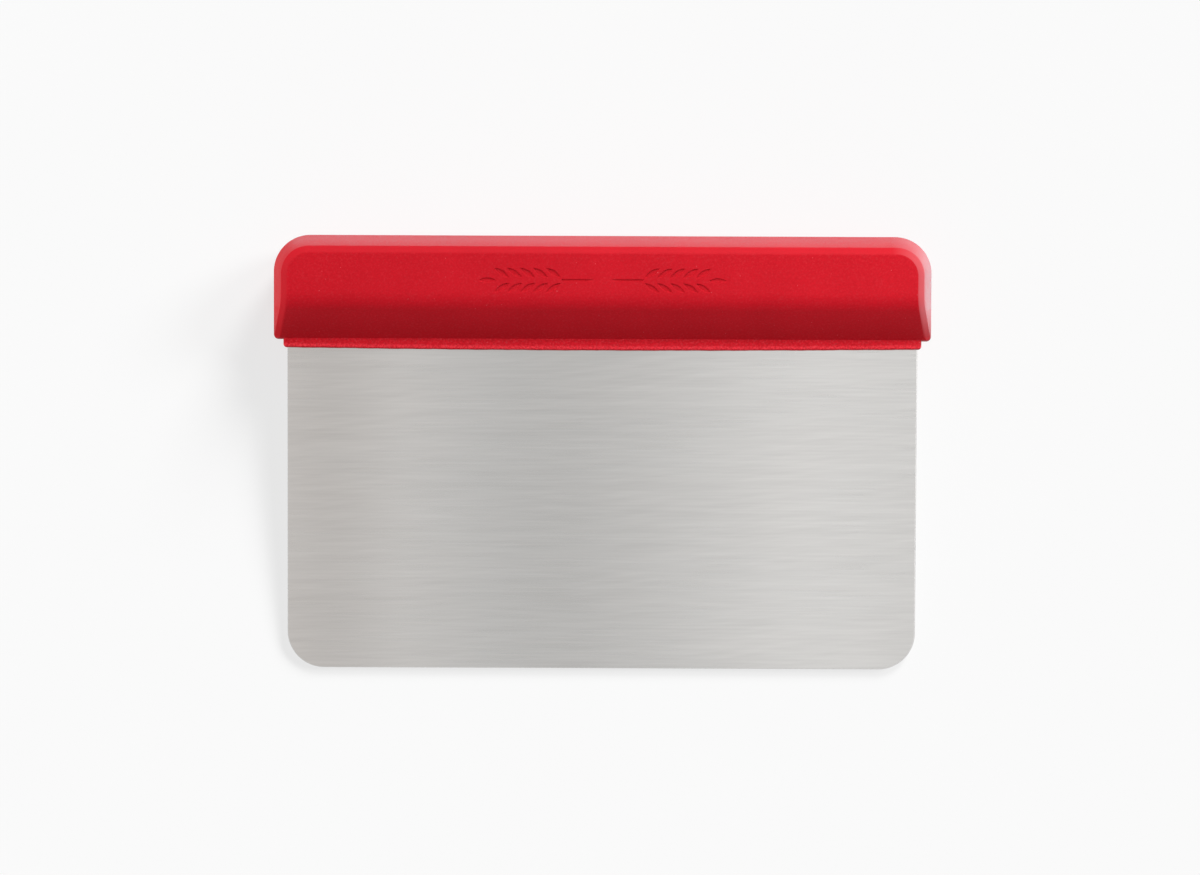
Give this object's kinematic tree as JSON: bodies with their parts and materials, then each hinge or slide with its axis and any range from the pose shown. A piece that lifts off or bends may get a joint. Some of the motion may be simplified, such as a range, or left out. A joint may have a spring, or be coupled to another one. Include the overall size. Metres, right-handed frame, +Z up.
{
  "type": "bench scraper",
  "caption": "Rectangular steel dough scraper blade with rounded lower corners, held in a full-width soft grip that slopes down to a thin lip.",
  "frame": {"origin": "bottom centre of the bounding box, on the surface that the scraper lies on", "axes": "+X along the working edge, +Y from the working edge towards the grip, +Z up out of the surface, with the blade's front facing up"},
  "size_m": [0.159, 0.1048, 0.0188],
  "materials": {
    "blade_steel": "stainless sheet brushed finely along the working edge, deburred edges",
    "grip_rubber": "red soft-touch overmould with a fine matte texture on its faces and smoother walls",
    "core_plastic": "dark moulded polymer, hidden inside the grip",
    "rivet_metal": "plain flat-headed rivets, hidden inside the grip"
  },
  "bodies": {
    "root": {"blade": "blade_steel", "core_front": "core_plastic", "core_rear": "core_plastic", "tang_rivets": "rivet_metal", "grip": "grip_rubber"}
  },
  "joints": []
}
